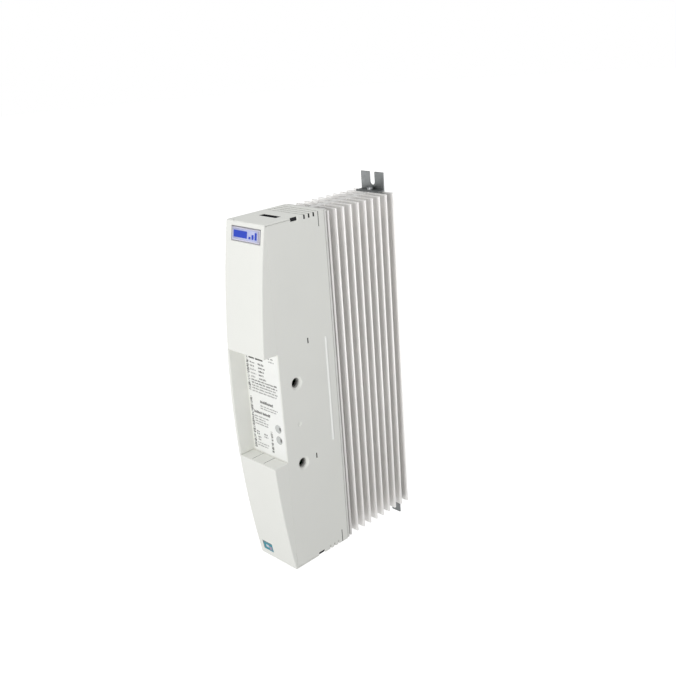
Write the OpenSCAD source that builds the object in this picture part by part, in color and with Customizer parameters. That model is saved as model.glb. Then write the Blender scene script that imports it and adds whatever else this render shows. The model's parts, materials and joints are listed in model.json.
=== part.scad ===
// Servo drive, book-size cabinet module on a finned heatsink.
// +X is the right side seen from the front, +Y points to the cabinet wall, +Z is up.
// The origin is the middle of the heatsink's back face, the plane that lies on the wall.

/* [Casing] */
// Width of the casing
width = 53; // [50:1:60]
// Height of the casing
casing_h = 351; // [346:1:360]
// Depth from the wall to the foremost point of the bowed front
depth = 186; // [184:1:196]
// How far the bowed front stands in front of the flat bulkhead
bow = 18.6; // [16:0.1:19]
// Radius of the bowed front, seen from the side
bow_r = 933; // [900:1:1000]
// Height of the foremost point above mid-height
bow_z = -2.6; // [-4:0.1:0]
// Thickness of the moulded casing walls
wall = 2; // [1.6:0.1:2.2]
// Thickness of the moulded covers
cover_t = 2.2; // [2:0.1:2.4]
// Gap left round each loose cover
fit_gap = 0.3; // [0.2:0.05:0.4]

/* [Front] */
// Lower edge of the upper cover
recess_top = 54; // [50:1:58]
// Upper edge of the lower cover
recess_bottom = -57; // [-60:1:-54]
// Width of the wall strip beside the recess
recess_wall = 3; // [2.4:0.1:4]
// Depth of the flap that each cover lays over the casing
flap_l = 29.4; // [26:0.1:32]
// Left edge of the flaps
flap_x = -15; // [-17:0.5:-13]
// Lower edge of the upper wiring bay
upper_bay_z = 96; // [94:1:98]
// Upper edge of the lower wiring bay
lower_bay_z = -92; // [-94:1:-91]
// Depth of the wiring bays behind the bulkhead
bay_depth = 23.8; // [23:0.1:24]

/* [Heatsink] */
// Number of plates, the base plate included
plates = 10; // [9:1:10]
// Distance from one plate to the next
plate_pitch = 10; // [9.6:0.1:10]
// Thickness of a plate
plate_t = 2; // [1.8:0.1:2.2]
// Width over the plates
sink_w = 54; // [48:0.1:55]
// Length of the extrusion
sink_l = 347; // [340:1:348]
// Thickness of the web that carries the plates
web_t = 6; // [5.5:0.1:8]

/* [Brackets] */
// Distance between the two mounting slots
slot_spacing = 365; // [362:1:368]
// Width of a mounting slot
slot_w = 6.5; // [5.5:0.1:6.5]
// Width of a bracket
bracket_w = 30.4; // [28:0.1:32]
// Height over both brackets
overall_h = 385; // [382:1:390]
// Thickness of the bracket steel
bracket_t = 1.5; // [1.2:0.1:2]

/* [Connectors] */
// Width of one mains or bus terminal
terminal_pitch = 8; // [7.6:0.1:8]
// Width of one motor terminal
motor_pitch = 7.62; // [7.5:0.01:7.62]
// Width of one control terminal
control_pitch = 3.81; // [3.5:0.01:3.81]
// How far the pluggable connectors pull out
plug_travel = 8.5; // [8:0.1:8.5]

/* [Hidden] */
$fn = 48;

// Colours
shell_white = "#ECEDE6";
side_white = "#E4E6E0";
bare_aluminium = "#D5D6D6";
zinc_steel = "#6F7674";
bright_steel = "#B9BCBD";
board_green = "#2F6B45";
black_plastic = "#2B2C2E";
terminal_green = "#3E8F5A";
copper = "#B8763E";

// Casing planes
hx = width / 2;
hz = casing_h / 2;
bulk_y = -(depth - bow);
sink_front = -((plates - 1) * plate_pitch + plate_t);
gasket_t = 1;
frame_t = 2.5;
frame_back = sink_front - gasket_t;
frame_front = frame_back - frame_t;
case_back = frame_front - 0.7;
rim_step = 0.8;
bay_floor = bulk_y + bay_depth;
inner_x = hx - wall;
flap_back = bulk_y + flap_l;
flap_t = 1.3;
flap_recess = 1.6;

// Openings in the casing
port_y = bulk_y + 20;
port_z = [19.2, -65.2];
port_r = 5;
port_rim_r = 7;
sleeve_r = 6.4;
sleeve_l = 6;
louvre_y = [for (i = [0:3]) bulk_y + 46.4 + 5.8 * i];
louvre_w = 1.8;
release_x = [-11, 13];
release_y = [bulk_y + 24, bulk_y + 31];
lug_y = [bulk_y + 29.6, bulk_y + 38.2];
slit_y = bulk_y + 63.6;
sight_slots = [[bulk_y + 38.6, 56.5], [bulk_y + 37.6, -64]];
groove_y = bulk_y + 60.6;

// Boards and the fasteners between them
board_t = 1.6;
board_x = 22.5;
board_z = 168;
pedestal_x = 17;
pedestal_z = 110;
pedestal_front = sink_front - 5.5;
pad_t = 0.4;
module_front = pedestal_front - pad_t - 12.5;
power_front = module_front - board_t;
control_back = bay_floor + wall + 2;
control_rear = control_back + board_t;
frame_screw_xz = [for (x = [-15, 15], z = [-150, 150]) [x, z]];
spacer_xz = [[-19, -164], [19, -164], [-20.3, 0], [20.3, 0], [-19, 138], [19, 138]];
spacer_af = 5;

// Connectors: lowest height, body height, number of poles
mains_z = 146;
bus_z = 112;
terminal_h = 18;
terminal_front = bulk_y + 7.4;
mains_poles = 5;
bus_poles = 3;
motor_z = -157;
motor_h = 16;
motor_poles = 4;
control_z = -120;
control_h = 12;
control_poles = 8;
socket_front = control_back - 11.4;
socket_floor = control_back - 2.4;
plug_front = control_back - 20.9;
encoder_z = -130.7;
dip_z = -100;
dip_x = [for (i = [0:3]) -12.8 + 2.54 * i];
dip_travel = 1.8;
led_x = [8, 14];
earth_z = [-171, -160];

// ---------- helpers ----------

// A box between two opposite corners
module block(lo, hi) {
    translate(lo) cube(hi - lo);
}

// A (Y, Z) outline given a width along X
module along_x(x0, x1) {
    translate([x0, 0, 0]) rotate([90, 0, 90]) linear_extrude(x1 - x0) children();
}

// An (X, Z) outline given a depth along Y
module along_y(y0, y1) {
    translate([0, y1, 0]) rotate([90, 0, 0]) linear_extrude(y1 - y0) children();
}

// A rectangle between two opposite corners
module rect(lo, hi) {
    translate(lo) square(hi - lo);
}

// The side outline of the bowed front, inset from its surface, between two heights
module bow_slice(inset, z0, z1, back = bulk_y) {
    intersection() {
        translate([bow_r - depth, bow_z]) circle(r = bow_r - inset, $fn = 720);
        rect([-depth, z0], [back, z1]);
    }
}

// A machine screw along -Y: its head's seat is at the origin, its tip at +Y
module screw(d, l, head_d, head_h) {
    rotate([-90, 0, 0]) cylinder(d = d, h = l);
    difference() {
        rotate([90, 0, 0]) cylinder(d = head_d, h = head_h);
        translate([-head_d * 0.32, -head_h - 1, -head_d * 0.06])
            cube([head_d * 0.64, head_h * 0.5 + 1, head_d * 0.12]);
        translate([-head_d * 0.06, -head_h - 1, -head_d * 0.32])
            cube([head_d * 0.12, head_h * 0.5 + 1, head_d * 0.64]);
    }
}

// ---------- casing ----------

// Cuts shared by the roof and the floor: flap recess, louvres, release window
module roof_cuts() {
    block([flap_x - fit_gap, bulk_y - 1, hz - flap_recess], [hx + 1, flap_back + fit_gap, hz + 1]);
    for (y = louvre_y)
        block([-hx + 3, y - louvre_w / 2, hz - wall - 1], [inner_x + 1, y + louvre_w / 2, hz + 1]);
    block([release_x[0], release_y[0], hz - 6], [release_x[1], release_y[1], hz + 1]);
}

module roof() {
    difference() {
        union() {
            block([-hx, bulk_y, hz - wall], [inner_x, case_back, hz]);
            block([flap_x - wall, bulk_y, hz - flap_recess - wall],
                [inner_x, flap_back + wall, hz - wall + 0.01]);
        }
        roof_cuts();
    }
    // Lug that snaps into the side panel
    block([inner_x - 1, lug_y[0] + 1, hz - wall - 0.8], [inner_x + 0.3, lug_y[1] - 1, hz - wall + 0.4]);
}

// Bay walls and floor between two heights
module bay(z0, z1, shelf_z) {
    block([-inner_x, bulk_y, shelf_z], [inner_x, bay_floor + wall, shelf_z + wall]);
    block([-inner_x, bay_floor, z0], [inner_x, bay_floor + wall, z1]);
}

module window(x0, x1, z0, z1) {
    block([x0 - fit_gap, bay_floor - 1, z0 - fit_gap], [x1 + fit_gap, bay_floor + wall + 1, z1 + fit_gap]);
}

module bay_windows() {
    mains_w = terminal_pitch * mains_poles / 2;
    bus_w = terminal_pitch * bus_poles / 2;
    window(-mains_w, mains_w, mains_z, mains_z + terminal_h);
    window(-bus_w, bus_w, bus_z, bus_z + terminal_h);
    window(-socket_half(motor_poles, motor_pitch), socket_half(motor_poles, motor_pitch),
        motor_z, motor_z + motor_h);
    window(-socket_half(control_poles, control_pitch), socket_half(control_poles, control_pitch),
        control_z, control_z + control_h);
    window(-15.6, 15.6, encoder_z - 6.3, encoder_z + 6.3);
    window(dip_x[0] - 1.8, dip_x[3] + 1.8, dip_z - 4, dip_z + 4);
    for (x = led_x) window(x - 1.6, x + 1.6, dip_z - 1.6, dip_z + 1.6);
    block([-inner_x, bay_floor - 1, earth_z[0] - 0.3], [-inner_x + 1.5, bay_floor + wall + 1, earth_z[1] + 0.3]);
}

module housing_tray() {
    color(shell_white) {
        // Left wall, with the strip that follows the bow beside the recess
        block([-hx, bulk_y, -hz], [-inner_x, case_back, hz]);
        along_x(-hx, -inner_x)
            bow_slice(0, recess_bottom + fit_gap, recess_top - fit_gap, bulk_y + wall);
        along_x(-hx, -hx + recess_wall)
            bow_slice(0, recess_bottom + fit_gap, recess_top - fit_gap);
        roof();
        mirror([0, 0, 1]) roof();
        // Rear rim, set in from the outside so that it leaves a shadow line
        difference() {
            block([-hx + rim_step, case_back - 1, -hz + rim_step], [inner_x, frame_front, hz - rim_step]);
            block([-inner_x, case_back - 2, -hz + wall], [inner_x + 1, frame_front + 1, hz - wall]);
        }
    }
}

// The flat front between the bays, which is the floor of the recess, and the walls of both bays
module front_bulkhead() {
    color(shell_white) difference() {
        union() {
            block([-inner_x, bulk_y, lower_bay_z], [inner_x, bulk_y + wall, upper_bay_z]);
            bay(upper_bay_z, hz - flap_recess - wall, upper_bay_z);
            bay(-hz + flap_recess + wall, lower_bay_z, lower_bay_z - wall);
        }
        bay_windows();
    }
}

// Notches, slit and lug window along one end of the side panel
module panel_end_cuts() {
    block([inner_x - 1, bulk_y - 1, hz - flap_recess], [hx + 1, flap_back + fit_gap, hz + 1]);
    block([inner_x - 1, lug_y[0], hz - 3.6], [hx + 1, lug_y[1], hz + 1]);
    for (i = [0:2])
        block([inner_x - 1, louvre_y[i] - louvre_w / 2, hz - 4], [hx + 1, louvre_y[i] + louvre_w / 2, hz + 1]);
    block([inner_x - 1, slit_y - 0.4, hz - 14.4], [hx + 1, slit_y + 0.4, hz + 1]);
}

module side_ports(x0, x1, r) {
    for (z = port_z) translate([x0, port_y, z]) rotate([0, 90, 0]) cylinder(r = r, h = x1 - x0);
}

module side_panel() {
    color(side_white) difference() {
        union() {
            block([inner_x, bulk_y, -hz], [hx, case_back, hz]);
            side_ports(inner_x - sleeve_l, inner_x + 0.01, sleeve_r);
            // Rib behind the long groove
            block([inner_x - 1.2, groove_y - 2.4, recess_bottom], [inner_x + 0.01, groove_y + 2.4, recess_top + 1]);
            block([inner_x, case_back - 0.01, -hz + rim_step], [hx - rim_step, frame_front, hz - rim_step]);
        }
        panel_end_cuts();
        mirror([0, 0, 1]) panel_end_cuts();
        side_ports(inner_x - sleeve_l - 1, hx + 1, port_r);
        for (z = port_z)
            translate([hx - 1.6, port_y, z]) rotate([0, 90, 0])
                cylinder(r1 = port_r, r2 = port_rim_r + 0.01, h = 1.61);
        for (p = sight_slots)
            block([inner_x - 1, p[0] - 0.75, p[1] - 2.8], [hx + 1, p[0] + 0.75, p[1] + 2.8]);
        block([hx - 1.4, groove_y - 1, recess_bottom + 1], [hx + 1, groove_y + 1, recess_top]);
        translate([hx - 0.8, bulk_y + 19, -23]) rotate([0, 90, 0]) cylinder(d1 = 3, d2 = 5, h = 0.81);
    }
}

// The latches in the release windows of the roof and the floor, standing on the bay walls
module release_latches() {
    root = hz - flap_recess - wall;
    color(black_plastic)
        for (s = [0, 1]) mirror([0, 0, s])
            block([release_x[0] + fit_gap, release_y[0] + fit_gap, root],
                [release_x[1] - fit_gap, release_y[1] - fit_gap, root + 1.7]);
}

// ---------- covers ----------

tab_t = 1.8;
tab_x = inner_x - fit_gap - tab_t / 2;
tab_root = 3.5;

// A bowed shell between two heights, with two pairs of tabs that slip inside the casing walls
module cover_shell(z0, z1, tab_z) {
    difference() {
        along_x(-hx, hx) bow_slice(0, z0, z1, bulk_y - fit_gap);
        along_x(-hx + cover_t, hx - cover_t) bow_slice(cover_t, z0 + cover_t, z1 - cover_t, bulk_y + 1);
    }
    // Locating tabs, each with a root that joins it to the side of the cover
    for (s = [-1, 1], z = tab_z) translate([s * tab_x, bulk_y, z]) {
        block([-tab_t / 2, -tab_root, -8], [tab_t / 2, 4, 8]);
        block([-2, -tab_root, -8], [2, -fit_gap - 0.3, 8]);
    }
}

// The flap that lies over the roof, notched for the release window
module cover_flap() {
    difference() {
        block([flap_x, bulk_y - 1.6, hz - flap_t], [hx, flap_back, hz]);
        block([release_x[0], release_y[0], hz - 3], [release_x[1], flap_back + 1, hz + 1]);
    }
}

badge_x = [-17.7, 22.3];
badge_z = [158, 171];
badge_depth = 1.2;
badge_t = 0.9;

// A plate that follows the bow, between two depths below its surface
module bowed_plate(x, z, skin0, skin1) {
    along_x(x[0], x[1]) difference() {
        bow_slice(skin0, z[0], z[1]);
        bow_slice(skin1, z[0] - 1, z[1] + 1, bulk_y + 1);
    }
}

module upper_cover() {
    color(shell_white) difference() {
        union() {
            cover_shell(recess_top, hz, [120, 156]);
            cover_flap();
        }
        bowed_plate(badge_x + [-0.4, 0.4], badge_z + [-0.4, 0.4], -1, badge_depth);
    }
}

emblem_x = [-20, -5.6];
emblem_z = [-168, -157.5];
ledge_slots = [-9, 7.7];

module lower_cover() {
    color(shell_white) difference() {
        union() {
            cover_shell(-hz, recess_bottom, [-150, -112]);
            mirror([0, 0, 1]) cover_flap();
        }
        bowed_plate(emblem_x + [-0.2, 0.2], emblem_z + [-0.2, 0.2], -1, 0.5);
        // The ledge is split into three break-out tabs
        for (x = ledge_slots)
            block([x - 0.3, -depth + 4, recess_bottom - cover_t - 1], [x + 0.3, bulk_y + 1, recess_bottom + 1]);
    }
}

module badge_plate() {
    color("#AEAFC0") bowed_plate(badge_x, badge_z, badge_depth - badge_t, badge_depth);
}

// A plain bar with two short bars beside it
module badge_mark() {
    color("#4A63C8") {
        bowed_plate([-14.6, 4], [161.4, 167.6], 0, badge_depth - badge_t);
        for (i = [0:2])
            bowed_plate([6.4 + 4.2 * i, 9 + 4.2 * i], [161.4, 163.4 + 2.1 * i], 0, badge_depth - badge_t);
    }
}

module lower_emblem() {
    color("#3FA6AC") bowed_plate(emblem_x, emblem_z, 0.1, 0.5);
}

label_t = 0.2;

module rating_label() {
    color("#F3F4F0") block([-21.5, bulk_y - label_t, recess_bottom + 1.5], [25, bulk_y, recess_top - 2]);
}

module inspection_seals() {
    color("#A9ABAC")
        for (z = [-35.6, -23.7])
            translate([17, 0, z]) along_y(bulk_y - 2 * label_t, bulk_y - label_t) circle(d = 8.6);
}

// ---------- rear frame and heatsink ----------

module frame_window() {
    rect([-pedestal_x - 0.6, -pedestal_z - 1], [pedestal_x + 0.6, pedestal_z + 1]);
}

module screw_holes(xz, d) {
    for (p = xz) translate(p) circle(d = d);
}

module rear_frame() {
    color("#CFD1CE") along_y(frame_front, frame_back) difference() {
        rect([-hx + 0.4, -hz + 0.4], [hx - 0.4, hz - 0.4]);
        frame_window();
        screw_holes(frame_screw_xz, 4.4);
    }
}

module frame_gasket() {
    color(black_plastic) along_y(frame_back, sink_front) difference() {
        rect([-22, -170], [22, 170]);
        frame_window();
        screw_holes(frame_screw_xz, 4.4);
    }
}

module frame_screws() {
    color(bright_steel)
        for (p = frame_screw_xz) translate([p[0], frame_front, p[1]]) screw(4, 9, 7, 2.4);
}

bracket_screw_y = -5;
web_hole_d = 4.04;

// Cross-section of the extrusion: plates on one web, with two screw ribs
module sink_section() {
    for (i = [0:plates - 1]) {
        y = -plate_t / 2 - i * plate_pitch;
        rect([-sink_w / 2, y - plate_t / 2], [sink_w / 2, y + plate_t / 2]);
    }
    rect([-web_t / 2, sink_front + 0.5], [web_t / 2, -0.5]);
    for (x = [-15, 15]) rect([x - 3, sink_front + 0.5], [x + 3, sink_front + plate_t + 4]);
}

module heatsink() {
    color(bare_aluminium) difference() {
        union() {
            translate([0, 0, -sink_l / 2]) linear_extrude(sink_l) sink_section();
            block([-pedestal_x, pedestal_front, -pedestal_z], [pedestal_x, sink_front + 0.5, pedestal_z]);
        }
        for (p = frame_screw_xz)
            translate([p[0], sink_front - 1, p[1]]) rotate([-90, 0, 0]) cylinder(d = 4.04, h = 12);
        for (s = [0, 1]) mirror([0, 0, s]) {
            translate([0, bracket_screw_y, sink_l / 2 - 14]) cylinder(d = web_hole_d, h = 15);
            translate([2, sink_front, sink_l / 2 - 6]) cylinder(r = 3.2, h = 7);
        }
    }
}

foot_z = sink_l / 2 + bracket_t;
foot_y = -plate_pitch + 0.1;

// A Z-shaped steel clip: slotted plate on the wall, foot on the extrusion, two legs between plates
module bracket() {
    along_y(-bracket_t, 0) difference() {
        rect([-bracket_w / 2, sink_l / 2], [bracket_w / 2, overall_h / 2]);
        translate([0, slot_spacing / 2]) circle(d = slot_w);
        rect([-slot_w / 2, slot_spacing / 2], [slot_w / 2, overall_h / 2 + 1]);
    }
    difference() {
        union() {
            block([-bracket_w / 2, foot_y, sink_l / 2], [bracket_w / 2, -bracket_t + 0.01, foot_z]);
            for (s = [-1, 1])
                block([s * (bracket_w / 4 + 1.8) - 5.4, foot_y, sink_l / 2 - 15],
                    [s * (bracket_w / 4 + 1.8) + 5.4, foot_y + bracket_t, sink_l / 2 + 0.01]);
        }
        translate([0, bracket_screw_y, sink_l / 2 - 1]) cylinder(d = 4.4, h = bracket_t + 2);
    }
}

module upper_bracket() {
    color(zinc_steel) bracket();
}

module lower_bracket() {
    color(zinc_steel) mirror([0, 0, 1]) bracket();
}

module bracket_screws() {
    color(bright_steel)
        for (s = [0, 1]) mirror([0, 0, s])
            translate([0, bracket_screw_y, foot_z]) rotate([-90, 0, 0]) screw(4, 12, 6.4, 2.4);
}

// ---------- power section ----------

module_z = [-62, 40];
rectifier_z = [58, 98];

module thermal_pads() {
    color("#C9CBD6") {
        block([-16, pedestal_front - pad_t, module_z[0]], [16, pedestal_front, module_z[1]]);
        block([-14, pedestal_front - pad_t, rectifier_z[0]], [14, pedestal_front, rectifier_z[1]]);
    }
}

// A potted module: metal base, moulded case, two rows of pins under the board
module potted_module(half_x, z, pins) {
    base = pedestal_front - pad_t;
    block([-half_x, base - 3, z[0]], [half_x, base, z[1]]);
    block([-half_x + 1, base - 10, z[0] + 4], [half_x - 1, base - 2.99, z[1] - 4]);
    step = (z[1] - z[0] - 20) / (pins - 1);
    for (i = [0:pins - 1], s = [-1, 1])
        block([s * (half_x - 4) - 0.5, module_front, z[0] + 9.5 + i * step],
            [s * (half_x - 4) + 0.5, base - 9.9, z[0] + 10.5 + i * step]);
}

module power_module() {
    color("#D9D8D0") potted_module(16, module_z, 8);
}

module rectifier_bridge() {
    color(black_plastic) potted_module(14, rectifier_z, 3);
}

module power_board() {
    color(board_green) along_y(power_front, module_front) difference() {
        rect([-board_x, -board_z], [board_x, board_z]);
        screw_holes(spacer_xz, 3.3);
    }
}

capacitor_r = 10.6;
capacitor_l = 23.5;

module dc_link_capacitors() {
    color("#3A4A63")
        for (x = [-11, 11], z = [31, 54, 77])
            translate([x, power_front, z]) rotate([90, 0, 0]) {
                cylinder(r = capacitor_r, h = capacitor_l - 1.2);
                cylinder(r = capacitor_r - 0.8, h = capacitor_l);
            }
}

choke_at = [0, power_front - 8, 108];

module choke_core() {
    color("#4F5357") translate(choke_at) rotate([90, 0, 0])
        rotate_extrude() translate([9.5, 0]) rect([-3, -4.5], [3, 4.5]);
}

// Turns of wire round the core, each a closed rectangular ring
module choke_winding() {
    color(copper) translate(choke_at) rotate([90, 0, 0])
        for (i = [0:11]) rotate([0, 0, 30 * i + 15]) translate([9.5, -0.8, 0]) difference() {
            block([-4.4, 0, -5.9], [4.4, 1.6, 5.9]);
            block([-3.2, -1, -4.7], [3.2, 3, 4.7]);
        }
}

module precharge_relay() {
    color("#3B3D40") block([-20, power_front - 16, 147], [-2, power_front, 163]);
    color(bright_steel)
        for (x = [-17, -5]) block([x - 0.6, power_front - 17, 153], [x + 0.6, power_front - 15.99, 157]);
}

module current_sensors() {
    color(black_plastic)
        for (s = [-1, 1]) difference() {
            block([s * 12 - 7, power_front - 12, -40], [s * 12 + 7, power_front, -24]);
            block([s * 12 - 3, power_front - 9, -41], [s * 12 + 3, power_front - 3, -23]);
        }
}

module supply_transformer() {
    color("#55504A") block([-14, power_front - 18, -84], [14, power_front - 4, -78]);
    color("#55504A") block([-14, power_front - 18, -62], [14, power_front - 4, -56]);
    color("#E2C24A") block([-11, power_front - 19.5, -78], [11, power_front - 2.5, -62]);
    color(black_plastic) block([-13, power_front - 4, -83], [13, power_front, -57]);
}

// ---------- control section ----------

module control_board() {
    color(board_green) along_y(control_back, control_rear) difference() {
        rect([-board_x, -board_z], [board_x, board_z]);
        screw_holes(spacer_xz, 3.3);
        // Clear of the sleeves of the side ports
        for (s = [-1, 1], z = port_z) translate([s * board_x, z]) square([6, 16], center = true);
    }
}

module processor() {
    color(black_plastic) {
        block([-9, control_back - 1.6, 66], [9, control_back, 84]);
        block([-6, control_back - 1.2, 44], [6, control_back, 54]);
        block([-5, control_back - 1.2, -40], [5, control_back, -24]);
    }
}

module hex_spacer(y0, y1, hole_d) {
    along_y(y0, y1) difference() {
        rotate(30) circle(d = spacer_af / cos(30), $fn = 6);
        if (hole_d > 0) circle(d = hole_d, $fn = 24);
    }
}

stud_l = 6;

// Hexagon spacers from the frame to the power board, each with a stud through the board
module frame_spacers() {
    color(bright_steel)
        for (p = spacer_xz) translate([p[0], 0, p[1]]) {
            hex_spacer(module_front, frame_front, 0);
            along_y(power_front - stud_l, module_front + 0.01) circle(d = 3);
        }
}

module board_spacers() {
    color(bright_steel)
        for (p = spacer_xz) translate([p[0], 0, p[1]]) hex_spacer(control_rear, power_front, 3.1);
}

module board_screws() {
    color(bright_steel)
        for (p = spacer_xz) translate([p[0], control_back, p[1]]) screw(3, 8, 5.4, 1.7);
}

// ---------- terminals ----------

function pole_x(i, poles, pitch) = (i - (poles - 1) / 2) * pitch;

cage_y = [terminal_front + 9, terminal_front + 16];

// A screw terminal strip whose wires enter from above
module terminal_strip(poles, pitch, z0) {
    difference() {
        block([-poles * pitch / 2, terminal_front, z0], [poles * pitch / 2, control_back, z0 + terminal_h]);
        for (i = [0:poles - 1]) translate([pole_x(i, poles, pitch), 0, z0]) {
            translate([0, terminal_front - 1, 8]) rotate([-90, 0, 0]) cylinder(d = 5, h = 10.5);
            block([-3, cage_y[0] - 0.1, 2.9], [3, cage_y[1] + 0.1, 13.1]);
            block([-2.6, cage_y[0] + 1, 13], [2.6, cage_y[1] - 1, terminal_h + 1]);
        }
    }
}

module terminal_cages(poles, pitch, z0) {
    for (i = [0:poles - 1]) translate([pole_x(i, poles, pitch), 0, z0]) difference() {
        block([-2.9, cage_y[0], 3], [2.9, cage_y[1], 13]);
        block([-2.1, cage_y[0] + 0.8, 2], [2.1, cage_y[1] - 0.8, 14]);
        translate([0, cage_y[0] - 1, 8]) rotate([-90, 0, 0]) cylinder(d = 3.1, h = 3);
    }
}

module terminal_heads(poles, pitch, z0) {
    for (i = [0:poles - 1]) translate([pole_x(i, poles, pitch), terminal_front + 6, z0 + 8])
        screw(3, 6, 4.6, 2.2);
}

module mains_terminals() {
    color(black_plastic) terminal_strip(mains_poles, terminal_pitch, mains_z);
}

module mains_clamps() {
    color(bright_steel) terminal_cages(mains_poles, terminal_pitch, mains_z);
}

module mains_screws() {
    color(bright_steel) terminal_heads(mains_poles, terminal_pitch, mains_z);
}

module bus_terminals() {
    color(black_plastic) terminal_strip(bus_poles, terminal_pitch, bus_z);
}

module bus_clamps() {
    color(bright_steel) terminal_cages(bus_poles, terminal_pitch, bus_z);
}

module bus_screws() {
    color(bright_steel) terminal_heads(bus_poles, terminal_pitch, bus_z);
}

socket_wall = 1.8;
plug_gap = 0.3;

function socket_half(poles, pitch) = poles * pitch / 2 + 2.2;
function plug_half(poles, pitch) = socket_half(poles, pitch) - socket_wall - plug_gap;

// A header on the control board, open towards the front
module socket(poles, pitch, z0, h) {
    w = socket_half(poles, pitch);
    difference() {
        block([-w, socket_front, z0], [w, control_back, z0 + h]);
        block([-w + socket_wall, socket_front - 1, z0 + socket_wall],
            [w - socket_wall, socket_floor, z0 + h - socket_wall]);
    }
}

module socket_pins(poles, pitch, z0, h, half) {
    for (i = [0:poles - 1]) translate([pole_x(i, poles, pitch), 0, z0 + h / 2])
        block([-half, socket_front + 2, -half], [half, socket_floor, half]);
}

// The pluggable terminal: pin holes behind, screw wells and wire entries in front
module plug(poles, pitch, z0, h, half, well_d) {
    w = plug_half(poles, pitch);
    inset = socket_wall + plug_gap;
    difference() {
        block([-w, plug_front, z0 + inset], [w, socket_floor - 0.6, z0 + h - inset]);
        for (i = [0:poles - 1]) translate([pole_x(i, poles, pitch), 0, z0 + h / 2]) {
            block([-half - 0.3, socket_front - 1, -half - 0.3], [half + 0.3, socket_floor, half + 0.3]);
            translate([0, plug_front - 1, well_d * 0.62]) rotate([-90, 0, 0]) cylinder(d = well_d, h = 5);
            block([-well_d * 0.42, plug_front - 1, -well_d * 0.98], [well_d * 0.42, plug_front + 6, -well_d * 0.14]);
        }
    }
}

module plug_screws(poles, pitch, z0, h, well_d) {
    for (i = [0:poles - 1])
        translate([pole_x(i, poles, pitch), plug_front + 4, z0 + h / 2 + well_d * 0.62]) difference() {
            rotate([90, 0, 0]) cylinder(d = well_d - 0.3, h = 2);
            translate([-well_d / 2, -3, -0.2]) cube([well_d, 1.7, 0.4]);
        }
}

motor_pin = 0.9;
motor_well = 4.4;
control_pin = 0.5;
control_well = 2.8;

module motor_socket() {
    color(black_plastic) socket(motor_poles, motor_pitch, motor_z, motor_h);
}

module motor_pins() {
    color(bright_steel) socket_pins(motor_poles, motor_pitch, motor_z, motor_h, motor_pin);
}

module motor_plug() {
    color(terminal_green) plug(motor_poles, motor_pitch, motor_z, motor_h, motor_pin, motor_well);
}

module motor_plug_screws() {
    color(bright_steel) plug_screws(motor_poles, motor_pitch, motor_z, motor_h, motor_well);
}

module control_socket() {
    color(black_plastic) socket(control_poles, control_pitch, control_z, control_h);
}

module control_pins() {
    color(bright_steel) socket_pins(control_poles, control_pitch, control_z, control_h, control_pin);
}

module control_plug() {
    color(terminal_green)
        plug(control_poles, control_pitch, control_z, control_h, control_pin, control_well);
}

module control_plug_screws() {
    color(bright_steel) plug_screws(control_poles, control_pitch, control_z, control_h, control_well);
}

// A nine-way D-shaped socket with its flange and two jack nuts
module encoder_socket() {
    flange = control_back - 6;
    color(bright_steel) translate([0, 0, encoder_z]) {
        block([-9.5, flange, -5], [9.5, control_back, 5]);
        block([-15.4, flange - 1, -6.1], [15.4, flange + 0.01, 6.1]);
        difference() {
            along_y(flange - 6.8, flange - 0.99)
                polygon([[-8.5, 4.2], [8.5, 4.2], [7, -4.2], [-7, -4.2]]);
            for (i = [0:4]) translate([-5.5 + 2.75 * i, flange - 8, 1.4]) pin_hole();
            for (i = [0:3]) translate([-4.1 + 2.75 * i, flange - 8, -1.4]) pin_hole();
        }
        for (s = [-1, 1]) translate([12.5 * s, 0, 0])
            along_y(flange - 5, flange - 0.99) rotate(30) circle(d = 5.2, $fn = 6);
    }
}

module pin_hole() {
    rotate([-90, 0, 0]) cylinder(d = 1.1, h = 5, $fn = 16);
}

dip_front = control_back - 6.4;

module dip_switch() {
    color("#C23B33") difference() {
        block([dip_x[0] - 1.8, dip_front, dip_z - 4], [dip_x[3] + 1.8, control_back, dip_z + 4]);
        for (x = dip_x)
            block([x - 0.9, dip_front - 1, dip_z - 1.8], [x + 0.9, dip_front + 1.8, dip_z + 2.2 + 0.1]);
    }
}

module dip_slider(i) {
    color("white") translate([dip_x[i], 0, dip_z])
        block([-0.7, dip_front - 0.7, -1.6], [0.7, dip_front + 1.6, 0.2]);
}

module status_leds() {
    color("#6BBF59")
        for (x = led_x) translate([x, control_back, dip_z]) rotate([90, 0, 0]) {
            cylinder(d = 3, h = 5.5, $fn = 32);
            translate([0, 0, 5.5]) sphere(d = 3, $fn = 32);
        }
}

// Protective-earth strip: foot on the frame, arm along the left wall, tab in the lower bay
earth_x = -inner_x + 0.2;
earth_t = 1;
earth_tab_y = bay_floor - 8;

module earth_bracket() {
    color("#C8CAC8") {
        block([earth_x, frame_front - earth_t, -158], [earth_x + 5, frame_front, -152]);
        block([earth_x, control_rear + 4, -171], [earth_x + earth_t, frame_front - earth_t + 0.01, -152]);
        block([earth_x, earth_tab_y, earth_z[0]], [earth_x + earth_t, control_rear + 4.01, earth_z[1]]);
        difference() {
            block([earth_x, earth_tab_y - earth_t, earth_z[0]], [-8, earth_tab_y + 0.01, earth_z[1]]);
            for (x = [-18.6, -12.2])
                translate([x, earth_tab_y - 2, -165.5]) rotate([-90, 0, 0]) cylinder(d = 3.1, h = 4);
        }
    }
}

module earth_screws() {
    color(bright_steel)
        for (x = [-18.6, -12.2])
            translate([x, earth_tab_y - earth_t, -165.5]) screw(3, 6, 5.6, 2);
}

ribbon_z = [-120, -100];
ribbon_x = 10;

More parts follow.
